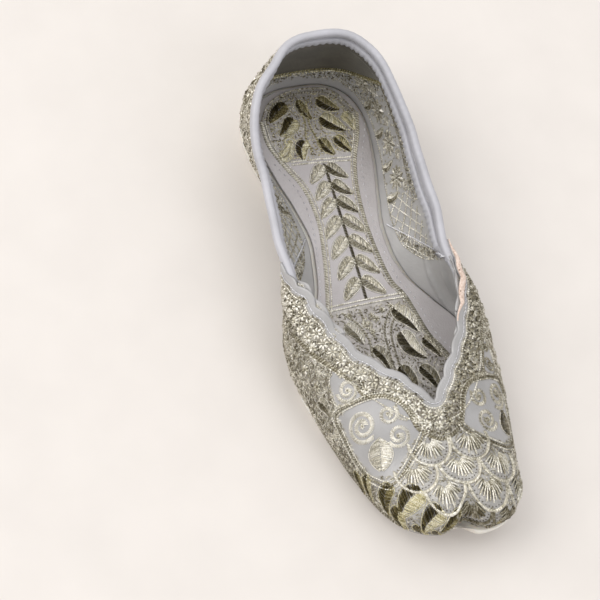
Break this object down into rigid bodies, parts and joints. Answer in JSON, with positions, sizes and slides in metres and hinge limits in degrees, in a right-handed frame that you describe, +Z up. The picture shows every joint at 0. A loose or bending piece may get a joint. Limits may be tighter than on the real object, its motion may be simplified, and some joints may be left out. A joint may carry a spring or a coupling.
{
  "type": "embroidered khussa flat",
  "caption": "Low slip-on flat shoe for the left foot: moulded sole, hollow leather upper with a pointed throat and notched toe, insole sock and a rolled collar binding.",
  "frame": {"origin": "middle of the shoe's box, on the floor", "axes": "+Z up, toe towards -Y, heel towards +Y, outer side of the left foot towards +X"},
  "size_m": [0.1024, 0.2512, 0.0616],
  "materials": {
    "sole_rubber": "milky cream moulded rubber, satin, with a pressed tread",
    "upper_leather": "silver-grey metallic coated leather covered with gold thread embroidery",
    "sock_leather": "mauve-silver coated leather sock with a gold thread panel",
    "binding_leather": "smooth silver-lilac coated leather turned into a soft roll"
  },
  "bodies": {
    "root": {"outsole": "sole_rubber", "upper": "upper_leather", "insole": "sock_leather", "topline_binding": "binding_leather"}
  },
  "joints": []
}
